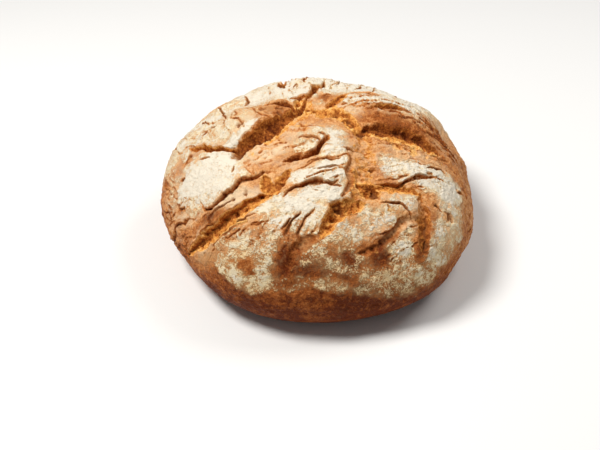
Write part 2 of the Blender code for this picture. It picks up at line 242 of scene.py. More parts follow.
SPLITS = (
    # The long tear at the front left, and the flame and the patch that it ends in
    Split(
        (
            (-0.125, -0.092), (-0.100, -0.096), (-0.080, -0.094),
            (-0.062, -0.088), (-0.040, -0.077), (-0.026, -0.076),
        ),
        half_width=0.0062, depth=0.0050, rise_left=0.0026, rise_right=0.0016, trough=0.4, strands=0.0002,
        toast_and_shade=0.4,
    ),
    Split(((-0.038, -0.060), (-0.037, -0.070), (-0.030, -0.078)), half_width=0.0045, depth=0.0036),
    Split(((-0.030, -0.076), (-0.026, -0.066), (-0.019, -0.057)), half_width=0.0040, depth=0.0026),
    # The deep tear behind it, up to the crown, the thin crack that goes on, and its side cracks
    Split(
        (
            (-0.062, -0.035), (-0.049, -0.027), (-0.037, -0.020),
            (-0.027, -0.012), (-0.018, 0.001),
        ),
        half_width=0.0072, depth=0.0088, rise_left=0.0046, trough=-0.5, strands=0.0002,
        toast_and_shade=0.78,
    ),
    # The near lip of it, where the skin tore away from the crumb
    Split(
        (
            (-0.040, -0.031), (-0.031, -0.026), (-0.024, -0.018), (-0.018, -0.009),
            (-0.010, -0.001), (-0.006, 0.010), (-0.004, 0.022),
        ),
        half_width=0.0038, depth=0.0012, crumb=0.55, toast_and_shade=0.3,
    ),
    Split(((-0.019, 0.011), (-0.015, 0.017), (-0.012, 0.024)), half_width=0.0030, depth=0.0024, toast_and_shade=0.1),
    Split(
        ((-0.026, -0.008), (-0.018, 0.000), (-0.012, 0.010), (-0.008, 0.024)),
        half_width=0.0042, depth=0.0070, rise_left=0.0024, strands=0.0005, toast_and_shade=0.6,
    ),
    Split(
        ((-0.009, 0.020), (-0.005, 0.034), (0.001, 0.048), (0.006, 0.062)),
        half_width=0.0022, depth=0.0055, rise_left=0.0020, crumb=0.6,
    ),
    Split(
        ((-0.042, 0.014), (-0.034, 0.018), (-0.024, 0.016), (-0.016, 0.006)),
        half_width=0.0032, depth=0.0050, rise_left=0.0026, crumb=0.7, toast_and_shade=1.0,
    ),
    Split(
        ((-0.022, 0.024), (-0.015, 0.025), (-0.008, 0.029)),
        half_width=0.0026, depth=0.0036, rise_left=0.0012, crumb=0.8, toast_and_shade=0.8,
    ),
    Split(
        ((-0.102, -0.004), (-0.092, -0.012), (-0.082, -0.020), (-0.070, -0.028), (-0.060, -0.034)),
        half_width=0.0032, depth=0.0065, rise_left=0.0010, rise_right=0.0010,
    ),
    # The golden tear from the crown to the right, under the tall plate
    Split(
        (
            (-0.010, 0.008), (0.002, 0.003), (0.012, 0.003),
            (0.021, -0.005), (0.027, -0.015), (0.032, -0.019),
        ),
        half_width=0.0062, depth=0.0026, rise_left=0.0008, crumb=0.8, toast_and_shade=0.3,
    ),
    Split(
        (
            (0.028, -0.018), (0.040, -0.015), (0.052, -0.015),
            (0.066, -0.013), (0.080, -0.014), (0.096, -0.015),
        ),
        half_width=0.0080, depth=0.0042, rise_left=0.0040, trough=0.8, strands=0.0002, toast_and_shade=0.9,
    ),
    # The torn valley right of the centre plate, deepest along that plate's edge
    Split(
        (
            (0.030, -0.018), (0.035, -0.030), (0.032, -0.044),
            (0.034, -0.058), (0.030, -0.070), (0.027, -0.080),
        ),
        half_width=0.0095, depth=0.0018, rise_left=0.0004, rise_right=0.0006, crumb=0.40,
        toast_and_shade=0.0,
    ),
    Split(
        ((0.021, -0.040), (0.026, -0.051), (0.021, -0.060), (0.025, -0.069), (0.018, -0.081)),
        half_width=0.0034, depth=0.0026, rise_right=0.0020, trough=-0.3, crumb=0.3,
    ),
    Split(((0.026, -0.070), (0.036, -0.072), (0.046, -0.073)), half_width=0.0060, depth=0.0044),
    # The lipped crack across the right plate, and the two arcs that run from it to the front
    Split(
        (
            (0.042, -0.067), (0.050, -0.065), (0.058, -0.064),
            (0.064, -0.057), (0.072, -0.051), (0.086, -0.046),
        ),
        half_width=0.0020, depth=0.0038, rise_left=0.0022, crumb=0.5,
    ),
    Split(((0.040, -0.070), (0.056, -0.067), (0.074, -0.066)), half_width=0.0034, depth=0.0026),
    Split(
        ((0.073, -0.067), (0.076, -0.076), (0.077, -0.086), (0.079, -0.096), (0.083, -0.108)),
        half_width=0.0052, depth=0.0032, rise_left=0.0012, trough=0.6, crumb=0.45,
    ),
    Split(
        (
            (0.075, -0.082), (0.066, -0.087), (0.058, -0.094),
            (0.053, -0.103), (0.046, -0.112), (0.030, -0.120),
        ),
        half_width=0.0034, depth=0.0022, rise_right=0.0010, crumb=0.3,
    ),
    # The torn pocket in front of the centre plate, and the wedge that it opens into
    Split(
        ((0.034, -0.082), (0.025, -0.087), (0.015, -0.090), (0.009, -0.099), (0.003, -0.110)),
        half_width=0.0062, depth=0.0046, rise_left=0.0012, rise_right=0.0026, trough=0.3, toast_and_shade=0.4,
    ),
    Split(
        ((0.003, -0.109), (-0.008, -0.110), (-0.015, -0.117), (-0.023, -0.126), (-0.028, -0.133)),
        half_width=0.0048, depth=0.0020, crumb=0.25,
    ),
    # The steps round the left plate and on the centre plate
    Split(
        (
            (-0.093, -0.064), (-0.090, -0.074), (-0.080, -0.076),
            (-0.070, -0.070), (-0.050, -0.060), (-0.030, -0.058),
        ),
        half_width=0.0018, depth=0.0024, rise_left=0.0028, trough=0.4, crumb=0.35, toast_and_shade=1.0,
    ),
    Split(
        ((-0.024, -0.050), (-0.015, -0.049), (-0.005, -0.048), (0.001, -0.043), (0.008, -0.028)),
        half_width=0.0030, depth=0.0056, rise_left=0.0020, rise_right=0.0008, crumb=0.6, toast_and_shade=1.0,
    ),
    Split(
        ((-0.024, -0.080), (-0.017, -0.072), (-0.008, -0.072), (0.001, -0.069), (0.016, -0.074)),
        half_width=0.0015, depth=0.0034, rise_left=0.0026, trough=0.3, crumb=0.4,
    ),
    # Two spots where only the skin came off
    Split(
        ((-0.053, -0.044), (-0.049, -0.050), (-0.046, -0.057)),
        half_width=0.0030, depth=0.0006, crumb=0.36,
    ),
    Split(
        ((-0.036, -0.036), (-0.032, -0.044), (-0.034, -0.052)),
        half_width=0.0028, depth=0.0008, crumb=0.36,
    ),
    # Small places where the crumb looks through
    Split(
        ((-0.024, -0.021), (-0.015, -0.024), (-0.006, -0.022)),
        half_width=0.0022, depth=0.0014, crumb=0.45,
    ),
    Split(
        ((-0.042, -0.034), (-0.034, -0.037), (-0.027, -0.034)),
        half_width=0.0020, depth=0.0012, crumb=0.42,
    ),
    Split(
        ((-0.014, -0.013), (-0.006, -0.017), (0.002, -0.018)),
        half_width=0.0020, depth=0.0012, crumb=0.42,
    ),
    Split(((0.036, -0.018), (0.038, -0.025), (0.037, -0.032)), half_width=0.0024, depth=0.0012, crumb=0.5),
    Split(
        ((0.050, -0.022), (0.060, -0.026), (0.072, -0.026)),
        half_width=0.0020, depth=0.0010, crumb=0.42,
    ),
    # The slits in the plates behind the crown
    Split(
        ((0.008, 0.008), (0.013, 0.016), (0.018, 0.022), (0.024, 0.028)),
        half_width=0.0040, depth=0.0040, trough=0.3,
    ),
    Split(
        ((0.022, 0.029), (0.033, 0.030), (0.046, 0.026)),
        half_width=0.0022, depth=0.0030, rise_left=0.0015, crumb=0.4,
    ),
    Split(
        ((0.039, 0.005), (0.047, 0.011), (0.056, 0.013), (0.066, 0.012)),
        half_width=0.0026, depth=0.0048, rise_left=0.0014, toast_and_shade=0.7,
    ),
    Split(
        ((-0.027, 0.048), (-0.029, 0.064), (-0.026, 0.084), (-0.032, 0.104)),
        half_width=0.0046, depth=0.0080, crumb=0.7, toast_and_shade=1.0,
    ),
    # The folds low on the left side
    Split(
        ((-0.160, -0.056), (-0.152, -0.064), (-0.142, -0.067), (-0.131, -0.063)),
        half_width=0.0024, depth=0.0040, rise_left=0.0020, crumb=0.1,
    ),
    # The tears at the back: a long one over the left shoulder, and a forked one on the right
    Split(
        (
            (-0.116, 0.060), (-0.094, 0.084), (-0.068, 0.096),
            (-0.040, 0.103), (-0.014, 0.116), (0.012, 0.134),
        ),
        half_width=0.0056, depth=0.0064, rise_left=0.0030, rise_right=0.0020, trough=0.3,
    ),
    Split(
        (
            (0.034, 0.082), (0.050, 0.098), (0.068, 0.103),
            (0.090, 0.099), (0.112, 0.082), (0.130, 0.058),
        ),
        half_width=0.0054, depth=0.0056, rise_left=0.0025, rise_right=0.0030, trough=-0.3,
    ),
    Split(((0.072, 0.102), (0.074, 0.120), (0.088, 0.138)), half_width=0.0036, depth=0.0046, crumb=0.6),
)

# Fine cracks in the floury skin, which are too small for the solid
CRACKS = (
    # On the front plate, beside the wedge
    ((-0.011, -0.090), (-0.015, -0.095), (-0.021, -0.101), (-0.025, -0.108)),
    ((-0.002, -0.089), (-0.006, -0.096), (-0.012, -0.103), (-0.016, -0.112)),
    ((-0.020, -0.096), (-0.026, -0.103)),
    ((0.004, -0.071), (0.010, -0.072), (0.015, -0.070)),
    ((-0.078, -0.100), (-0.066, -0.097), (-0.055, -0.092), (-0.044, -0.089)),
    # Along the step of the left plate, and on its far side
    ((-0.088, -0.080), (-0.078, -0.079), (-0.068, -0.077), (-0.060, -0.074)),
    ((-0.088, -0.081), (-0.082, -0.087)),
    ((-0.092, -0.025), (-0.086, -0.028), (-0.082, -0.030)),
    ((-0.106, -0.019), (-0.103, -0.014), (-0.098, -0.016)),
    ((-0.062, -0.047), (-0.063, -0.056)),
    ((-0.120, -0.053), (-0.117, -0.058), (-0.112, -0.061)),
    ((-0.112, -0.032), (-0.107, -0.034)),
    ((-0.158, -0.068), (-0.150, -0.071), (-0.143, -0.077)),
    # On the centre plate
    ((0.000, -0.063), (0.006, -0.060), (0.012, -0.058), (0.018, -0.060)),
    ((-0.008, -0.055), (0.002, -0.053), (0.010, -0.053), (0.016, -0.051)),
    ((-0.013, -0.030), (-0.004, -0.031), (0.002, -0.035)),
    ((0.018, -0.040), (0.026, -0.041), (0.032, -0.038)),
    ((0.000, -0.028), (0.006, -0.029)),
    # On the right plate and round the small one
    ((0.044, -0.081), (0.054, -0.078), (0.062, -0.079), (0.067, -0.084)),
    ((0.080, -0.039), (0.088, -0.037), (0.098, -0.034)),
    ((0.084, -0.070), (0.088, -0.069), (0.091, -0.071)),
    ((0.012, -0.093), (0.020, -0.094), (0.028, -0.092)),
    ((0.079, -0.080), (0.081, -0.088), (0.082, -0.097), (0.084, -0.107)),
    ((0.112, -0.044), (0.119, -0.041)),
    # Behind the crown
    ((-0.023, 0.060), (-0.022, 0.072), (-0.024, 0.084)),
    ((-0.084, 0.048), (-0.078, 0.033), (-0.071, 0.018), (-0.066, 0.002)),
    ((-0.062, 0.054), (-0.058, 0.040), (-0.056, 0.028)),
    ((-0.088, 0.001), (-0.080, 0.003), (-0.075, 0.001)),
    ((0.067, 0.040), (0.066, 0.049)),
    ((0.036, 0.062), (0.034, 0.076)),
    ((0.017, 0.060), (0.019, 0.080)),
    ((0.006, 0.028), (0.010, 0.032)),
    ((0.056, 0.010), (0.064, 0.013), (0.072, 0.012)),
    ((0.084, -0.018), (0.090, -0.020), (0.096, -0.019)),
    ((0.100, -0.003), (0.106, -0.001), (0.112, 0.000)),
)
CRACK_HALF_WIDTH = 0.0008
CRACK_DEPTH = 0.0022
CRACK_RISE = 0.0005
CRACK_REACH = 0.008
CRACK_EDGE = (0.3, 1.4)
CURL_PLACE = 2.2
CURL_WIDTH = 1.2

STRETCHES = (
    # The front plate, the strip between the two front tears, and the centre plate
    Stretch((-0.020, -0.104), (0.024, 0.014), math.radians(52), 0.0070, 0.0005),
    Stretch((-0.075, -0.084), (0.032, 0.010), math.radians(10), 0.0045, 0.0008),
    Stretch((-0.060, -0.100), (0.034, 0.010), math.radians(14), 0.0040, 0.0005),
    Stretch((0.006, -0.056), (0.024, 0.024), math.radians(17), 0.0060, 0.0008),
    # The left wall, high and low
    Stretch((-0.138, -0.030), (0.022, 0.030), math.radians(-64), 0.0065, 0.0008),
    Stretch((-0.130, -0.072), (0.032, 0.026), math.radians(-28), 0.0055, 0.0009),
    Stretch((-0.098, 0.020), (0.034, 0.030), math.radians(-62), 0.0100, 0.0005),
    Stretch((-0.056, -0.002), (0.030, 0.018), math.radians(-70), 0.0060, 0.0005),
    # The skin between the plates behind the front tear
    Stretch((-0.030, -0.040), (0.022, 0.014), math.radians(24), 0.0050, 0.0006),
    # The right plate, the golden tear's lower side, and the bare top on the right
    Stretch((0.070, -0.050), (0.034, 0.016), math.radians(22), 0.0065, 0.0006),
    Stretch((0.062, -0.026), (0.036, 0.010), math.radians(12), 0.0038, 0.0008),
    Stretch((0.056, 0.006), (0.036, 0.012), math.radians(10), 0.0050, 0.0005),
    Stretch((0.098, 0.004), (0.026, 0.030), math.radians(-12), 0.0048, 0.0010),
    Stretch((0.040, 0.016), (0.034, 0.012), math.radians(14), 0.0052, 0.0007),
    Stretch((0.136, -0.050), (0.022, 0.050), math.radians(68), 0.0085, 0.0005),
    Stretch((0.060, -0.100), (0.026, 0.020), math.radians(40), 0.0055, 0.0005),
    # Behind the crown
    Stretch((-0.020, 0.060), (0.030, 0.030), math.radians(96), 0.0070, 0.0007),
    Stretch((0.040, 0.066), (0.044, 0.026), math.radians(78), 0.0080, 0.0006),
)
WRINKLE_LENGTH = 5.0
WRINKLE_DEPTH = 0.0012
WRINKLE_WIDTH = 0.18
LEDGE_WIDTH = 0.4
STREAK_WIDTH = 0.0042
STREAK_LENGTH = 0.019
KNOBS = ((0.0075, 0.0006), (0.0036, 0.0004))

PITS = (
    Pit((-0.060, -0.036), 0.0050, 0.0070),
    Pit((-0.029, 0.010), 0.0034, 0.0040),
    Pit((0.032, -0.019), 0.0042, 0.0050),
    Pit((0.041, -0.074), 0.0042, 0.0050),
    Pit((0.014, -0.090), 0.0036, 0.0030),
    Pit((0.100, -0.073), 0.0032, 0.0022),
    # Small ones, too small for the solid
    Pit((-0.039, 0.006), 0.0024, 0.0030),
    Pit((-0.028, -0.002), 0.0022, 0.0030),
    Pit((-0.057, -0.011), 0.0026, 0.0022),
    Pit((-0.051, -0.073), 0.0018, 0.0026),
    Pit((0.086, -0.020), 0.0026, 0.0036),
    Pit((0.024, -0.011), 0.0024, 0.0034),
    Pit((-0.062, -0.075), 0.0014, 0.0022),
    Pit((0.013, 0.002), 0.0026, 0.0040),
    Pit((0.023, -0.006), 0.0022, 0.0035),
    Pit((0.037, -0.054), 0.0020, 0.0030),
    Pit((0.084, -0.099), 0.0020, 0.0030),
)


def smooth_step(value, start, end):
    """0 before start, 1 after end, and an even slope between them."""
    share = np.clip((value - start) / (end - start), 0, 1)
    return share * share * (3 - 2 * share)


def waves(points, size, seed, octaves=3):
    """Even random waves of that size, from -1 to 1, the same on every run."""
    shift = np.array((7.3, 3.1, 5.7)) * seed
    scaled = (points / size + shift).tolist()
    return np.array([noise.fractal(place, 1.0, 2.0, octaves) for place in scaled])


def drift(across, along, seed, octaves=2):
    """Even random waves over two lengths, from -1 to 1, the same on every run."""
    total = np.zeros(len(across))
    for octave in range(octaves):
        heights = np.random.default_rng(seed + octave).uniform(-1.2, 1.2, (61, 61))
        column = across * 2**octave % 61
        row = along * 2**octave % 61
        left, low = column.astype(int), row.astype(int)
        right, high = (left + 1) % 61, (low + 1) % 61
        ahead = smooth_step(column - left, 0, 1)
        above = smooth_step(row - low, 0, 1)
        near = heights[left, low] * (1 - ahead) + heights[right, low] * ahead
        far = heights[left, high] * (1 - ahead) + heights[right, high] * ahead
        total += (near * (1 - above) + far * above) / 2**octave
    return total / 1.5


def evened(values, ends, times):
    """The values spread over each point's neighbours, so that only the broad forms stay."""
    count = len(values)
    degree = np.bincount(ends.ravel(), minlength=count).clip(1)
    for _ in range(times):
        near = np.bincount(ends[:, 0], values[ends[:, 1]], count)
        near += np.bincount(ends[:, 1], values[ends[:, 0]], count)
        values = 0.4 * values + 0.6 * near / degree
    return values


def profile(steps=240):
    """The outline of a cut through the loaf: its radius and height at each length from the crown."""
    turn = np.linspace(0, math.pi / 2, steps)
    radius = LOAF_WIDTH / 2
    dome = LOAF_HEIGHT - WAIST_HEIGHT
    across = np.concatenate([
        radius * np.sin(turn) ** DOME_SIDE_POWER,
        radius - BASE_INSET * (1 - np.cos(turn)),
        np.linspace(radius - BASE_INSET, 0, steps),
    ])
    up = np.concatenate([
        WAIST_HEIGHT + dome * np.cos(turn).clip(0) ** DOME_TOP_POWER,
        WAIST_HEIGHT * (1 - np.sin(turn)),
        np.zeros(steps),
    ])
    passed = np.concatenate([[0], np.cumsum(np.hypot(np.diff(across), np.diff(up)))])
    return passed, across, up


def plain_loaf(length, around):
    """The loaf before it burst: a turned profile with a lobed outline and a crown that leans."""
    passed, across, up = profile()
    height = np.interp(length, passed, up)
    lobes = 1 + sum(share * np.cos(count * (around - side)) for count, share, side in LOBES)
    radius = np.interp(length, passed, across) * lobes
    crown = ((height - WAIST_HEIGHT) / (LOAF_HEIGHT - WAIST_HEIGHT)).clip(0)
    return np.stack([
        radius * np.cos(around) + CROWN_LEAN[0] * crown,
        radius * np.sin(around) + CROWN_LEAN[1] * crown,
        height,
    ], axis=1)


def rounded(path, times=2):
    """The path with its corners cut off, as a tear has none."""
    points = np.array(path)
    for _ in range(times):
        near = points[:-1] * 0.75 + points[1:] * 0.25
        far = points[:-1] * 0.25 + points[1:] * 0.75
        middle = np.stack([near, far], axis=1).reshape(-1, 2)
        points = np.concatenate([points[:1], middle, points[-1:]])
    return points


def from_path(path, places):
    """Each place's distance from a path, positive on its left, the way to it, and how far along."""
    points = rounded(path)
    runs = np.hypot(*np.diff(points, axis=0).T)
    starts = np.concatenate([[0], np.cumsum(runs)])
    nearest = np.full(len(places), np.inf)
    side = np.zeros(len(places))
    along = np.zeros(len(places))
    pull = np.zeros((len(places), 2))
    for start, end, run, before in zip(points, points[1:], runs, starts):
        ahead = (end - start) / run
        offset = places - start
        passed = (offset @ ahead).clip(0, run)
        away = offset - passed[:, None] * ahead
        apart = np.hypot(*away.T)
        left = ahead[0] * offset[:, 1] - ahead[1] * offset[:, 0]
        closer = apart < nearest
        nearest = np.where(closer, apart, nearest)
        side = np.where(closer, np.sign(left), side)
        along = np.where(closer, before + passed, along)
        pull = np.where(closer[:, None], -away / np.maximum(apart, 1e-9)[:, None], pull)
    return nearest * side, pull, along, starts[-1]


def near_path(path, places, reach):
    """Which places lie near enough to a path to be changed by it."""
    low = np.min(path, axis=0) - reach
    high = np.max(path, axis=0) + reach
    return np.flatnonzero(((places > low) & (places < high)).all(axis=1))


class Burst:
    """What the tears did at each point: height, sideways pull, and what shows there."""

    def __init__(self, count):
        self.up = np.zeros(count)
        self.down = np.zeros(count)
        self.opened = np.zeros(count)
        self.torn = np.zeros(count)
        self.loose = np.zeros(count)
        self.fibre = np.zeros(count)
        self.toast_and_shade = np.zeros(count)
        self.slide = np.zeros((count, 2))
        self.crack = np.zeros(count)


def open_split(burst, split, places):
    """Opens one tear: a trough between two lips, of which each rises and leans over it a little."""
    at = near_path(split.path, places, TEAR_REACH)
    side, pull, along, run = from_path(split.path, places[at])
    taper = np.sqrt(np.sin(math.pi * along / run).clip(END_TAPER))
    half = split.half_width * taper
    across = side / half
    past_trough = np.where(
        across > split.trough,
        (across - split.trough) / (1 - split.trough),
        (split.trough - across) / (1 + split.trough),
    )
    down = split.depth * taper * (1 - past_trough.clip(0, 1) ** TROUGH_ROUNDNESS)
    opened = 1 - smooth_step(np.abs(across), *SKIN_EDGE)
    rise = np.where(side > 0, split.rise_left, split.rise_right)
    beyond = (np.abs(side) - half).clip(0)
    ends = smooth_step(np.hypot(*(places[at] - split.path[0]).T), 0, LIP_REACH)
    ends *= smooth_step(np.hypot(*(places[at] - split.path[-1]).T), 0, LIP_REACH)
    up = rise * taper * ends * np.exp(-beyond / LIP_REACH)
    edge = np.exp(-((np.abs(side) - half * LIP_EDGE) / (half * LIP_EDGE_WIDTH)) ** 2)
    lean = np.where(np.abs(across) < LIP_EDGE, edge, np.exp(-beyond / LEAN_REACH))
    slide = pull * (LIP_OVERHANG * rise * taper * ends * lean)[:, None]
    strand = drift(along / STRAND_WIDTH, side / STRAND_LENGTH, len(at))
    # Walls that face the front are painted darker by the toast value, partly as toasted crumb and partly
    # as painted shade
    facing = smooth_step(-pull[:, 1] * np.abs(across), -0.7, 0.5)
    wins = (down > burst.down[at]) | (opened > burst.opened[at])
    burst.fibre[at] = np.where(wins, opened * split.strands * strand, burst.fibre[at])
    burst.toast_and_shade[at] = np.where(wins, split.toast_and_shade * facing, burst.toast_and_shade[at])
    burst.up[at] = np.maximum(burst.up[at], up)
    burst.down[at] = np.maximum(burst.down[at], down)
    burst.opened[at] = np.maximum(burst.opened[at], opened)
    burst.torn[at] = np.maximum(burst.torn[at], opened * split.crumb)
    loose = opened * split.crumb * min(1, split.half_width / LOOSE_HALF_WIDTH)
    loose *= 1 - TOASTED_SMOOTHNESS * split.toast_and_shade * facing
    burst.loose[at] = np.maximum(burst.loose[at], loose)
    stronger = np.hypot(*slide.T) > np.hypot(*burst.slide[at].T)
    burst.slide[at] = np.where(stronger[:, None], slide, burst.slide[at])


def open_crack(burst, path, places):
    """Opens one fine crack, whose edges curl up a little."""
    at = near_path(path, places, CRACK_REACH)
    side, _, along, run = from_path(path, places[at])
    taper = np.sqrt(np.sin(math.pi * along / run).clip(END_TAPER))
    across = np.abs(side) / (CRACK_HALF_WIDTH * taper)
    groove = 1 - smooth_step(across, *CRACK_EDGE)
    burst.down[at] = np.maximum(burst.down[at], CRACK_DEPTH * taper * groove)
    curl = CRACK_RISE * taper * np.exp(-((across - CURL_PLACE) / CURL_WIDTH) ** 2)
    burst.up[at] = np.maximum(burst.up[at], curl)
    burst.crack[at] = np.maximum(burst.crack[at], groove)


bpy.ops.object.select_all(action="DESELECT")
bpy.ops.mesh.primitive_cube_add(size=2)
loaf = bpy.context.object
loaf.name = "burst_loaf"
divide = loaf.modifiers.new("Divide", "SUBSURF")
divide.subdivision_type = "SIMPLE"
divide.levels = CUBE_LEVELS
divide.render_levels = CUBE_LEVELS
bpy.ops.object.modifier_apply(modifier=divide.name)
ball = loaf.modifiers.new("Ball", "CAST")
ball.cast_type = "SPHERE"
ball.factor = 1.0
bpy.ops.object.modifier_apply(modifier=ball.name)

# First the plain loaf, whose skin then bursts
mesh = loaf.data
count = len(mesh.vertices)
directions = np.empty(count * 3, np.float32)
mesh.vertices.foreach_get("co", directions)
directions = directions.reshape(-1, 3).astype(float)
directions /= np.linalg.norm(directions, axis=1, keepdims=True)
around = np.arctan2(directions[:, 1], directions[:, 0])
length = np.arccos(directions[:, 2].clip(-1, 1)) / math.pi * profile()[0][-1]
places = np.stack([length * np.cos(around), length * np.sin(around)], axis=1)
points = plain_loaf(length, around)
mesh.vertices.foreach_set("co", points.astype(np.float32).ravel())
mesh.update()
outwards = np.array([corner.vector[:] for corner in mesh.vertex_normals])

# The two ways along the crust at each point: right and back on the crust laid flat
STEP = 0.0002
outward_run = plain_loaf(length + STEP, around) - plain_loaf((length - STEP).clip(0), around)
outward_run /= np.linalg.norm(outward_run, axis=1, keepdims=True).clip(1e-12)
round_run = np.cross(outwards, outward_run)
to_right = np.cos(around)[:, None] * outward_run - np.sin(around)[:, None] * round_run
to_back = np.sin(around)[:, None] * outward_run + np.cos(around)[:, None] * round_run

rag = np.stack([waves(points, RAG_SIZE, 1), waves(points, RAG_SIZE, 2)], axis=1)
fray = np.stack([waves(points, FRAY_SIZE, 5), waves(points, FRAY_SIZE, 6)], axis=1)
ragged = places + RAG_REACH * rag + FRAY_REACH * fray
frayed = ragged + FLOUR_FRAY_REACH * fray
burst = Burst(count)
for split in SPLITS:
    open_split(burst, split, ragged)
for path in CRACKS:
    open_crack(burst, path, ragged)
pitted = np.zeros(count)
for pit in PITS:
    apart = np.hypot(*(frayed - pit.middle).T)
    bowl = np.exp(-((apart / pit.radius) ** 2))
    burst.down += pit.depth * bowl
    pitted = np.maximum(pitted, bowl)

# Thin skin that tore in spots, so that the crumb looks through
SCUFFS = (
    ((-0.036, -0.036), (0.024, 0.012)),
    ((-0.006, -0.014), (0.022, 0.010)),
    ((0.034, -0.046), (0.013, 0.028)),
    ((0.066, -0.025), (0.036, 0.007)),
    ((-0.036, -0.064), (0.012, 0.010)),
    ((0.016, 0.008), (0.014, 0.010)),
    ((0.042, -0.084), (0.016, 0.005)),
    ((-0.060, -0.094), (0.034, 0.004)),
)
SCUFF_SIZE = 0.0085
SCUFF_DEPTH = 0.0007
scuffed = np.zeros(count)
for middle, reach in SCUFFS:
    offset = (frayed - middle) / reach
    scuffed = np.maximum(scuffed, np.exp(-((offset**2).sum(axis=1) ** 1.5)))
scuffed *= smooth_step(waves(points, SCUFF_SIZE, 40), 0.05, 0.35)
burst.torn = np.maximum(burst.torn, 0.52 * scuffed)
burst.loose = np.maximum(burst.loose, 0.4 * scuffed)
burst.down += SCUFF_DEPTH * scuffed

# Wrinkles: thin grooves, of which one side stands up as a ledge
wrinkle = np.zeros(count)
ledge = np.zeros(count)
streaks = np.zeros(count)
for number, stretch in enumerate(STRETCHES):
    offset = ragged - stretch.middle
    share = np.exp(-(((offset / stretch.reach) ** 2).sum(axis=1) ** 1.5))
    ahead = math.cos(stretch.heading), math.sin(stretch.heading)
    beside = -ahead[1], ahead[0]
    across, along = offset @ beside / STREAK_WIDTH, offset @ ahead / STREAK_LENGTH
    streaks += share * drift(across, along, 150 + number)
    for finer in (1, 2):
        gap = stretch.gap / finer * 0.8
        across, along = offset @ beside / gap, offset @ ahead / (gap * WRINKLE_LENGTH)
        line = drift(across, along, 50 * finer + number)
        rising = smooth_step(drift(across + 0.15, along, 50 * finer + number) - line, -0.02, 0.06)
        groove = 1 - smooth_step(np.abs(line), 0.0, WRINKLE_WIDTH)
        wrinkle = np.maximum(wrinkle, rising * share / finer * groove)
        above = np.where(line > 0, np.exp(-line / LEDGE_WIDTH), 0)
        ledge += rising * 2 * stretch.height / finer * share * above
wrinkle *= 1 - burst.opened
streaks = streaks.clip(-1, 1)
ledge *= 1 - burst.opened

# The height of it all over the plain loaf
FLOUR_HEIGHT = 0.00045
FLOUR_GRAIN = 0.0026
plates = np.zeros(count)
for swell in SWELLS:
    offset = (places - swell.middle) / swell.reach
    plates += swell.height * np.exp(-((offset**2).sum(axis=1) ** 1.5))
plates += LUMP_HEIGHT * waves(points, LUMP_SIZE, 3) + burst.up * (1 - burst.opened)
height = plates - burst.down + ledge - WRINKLE_DEPTH * wrinkle
height += FLOUR_HEIGHT * waves(points, FLOUR_GRAIN, 9)
for number, (knob_size, knob_height) in enumerate(KNOBS):
    height += knob_height * waves(points, knob_size, 20 + number, 2)
skirt = 1 - smooth_step(length, SKIRT_START, SKIRT_END)
points += outwards * (height * skirt)[:, None]
slide = burst.slide * skirt[:, None]
points += to_right * slide[:, :1] + to_back * slide[:, 1:]
mesh.vertices.foreach_set("co", points.astype(np.float32).ravel())
mesh.update()
plain_outwards = outwards
outwards = np.array([corner.vector[:] for corner in mesh.vertex_normals])

# Torn crumb is a web of thin walls round small cells, with larger bubbles here and there and fibres
# that run from edge to edge
CRUMB_SIZES = ((0.0062, 0.0016), (0.0027, 0.0008))
WALL_GAPS = ((0.0050, 0.0016), (0.0026, 0.0009))
BUBBLE_GAP = 0.0060
BUBBLE_DEPTH = 0.0022
BUBBLE_SHARE = 0.45
CRUMB_SEED = 7
inside = np.flatnonzero(burst.loose > 0.02)
crumb = np.zeros((count, 3))
noise.seed_set(CRUMB_SEED)
for crumb_size, crumb_height in CRUMB_SIZES:
    scaled = (points[inside] / crumb_size).tolist()
    crumb[inside] += crumb_height * np.array([noise.noise_vector(place)[:] for place in scaled])
crumb *= burst.loose[:, None]
walls = np.zeros(count)
for number, (wall_gap, wall_rise) in enumerate(WALL_GAPS):
    walls[inside] += wall_rise * (0.6 - 2.4 * np.abs(waves(points[inside], wall_gap, 31 + number, 1)))
cells = [noise.voronoi(place) for place in (points[inside] / BUBBLE_GAP).tolist()]
hole = np.array([
    1 - 2.4 * gaps[0] if corners[0].x * 7.3 % 1 < BUBBLE_SHARE else 0 for gaps, corners in cells
])
bubble = np.zeros(count)
bubble[inside] = smooth_step(hole, 0.0, 0.5) * burst.loose[inside]
level = (outwards * plain_outwards).sum(axis=1).clip(0, 1) ** 2
torn_relief = (burst.fibre + walls * burst.loose - BUBBLE_DEPTH * bubble) * level
points += outwards * (torn_relief * skirt)[:, None] + crumb * skirt[:, None]
points[:, 2] = points[:, 2].clip(0)
mesh.vertices.foreach_set("co", points.astype(np.float32).ravel())

# What stands out of the skin round it, and what is steep
SPREAD_TIMES = 14
STANDING_OUT = 0.0016
STEEP_STEP = 0.0006
ends = np.empty(len(mesh.edges) * 2, np.int32)
mesh.edges.foreach_get("vertices", ends)
ends = ends.reshape(-1, 2)
height += torn_relief
stands_out = (height - evened(height, ends, SPREAD_TIMES)) / STANDING_OUT
steep = np.zeros(count)
step = np.abs(np.diff(height[ends], axis=1))[:, 0]
for end in (0, 1):
    np.maximum.at(steep, ends[:, end], step)
steep = evened(steep, ends, 1) / STEEP_STEP

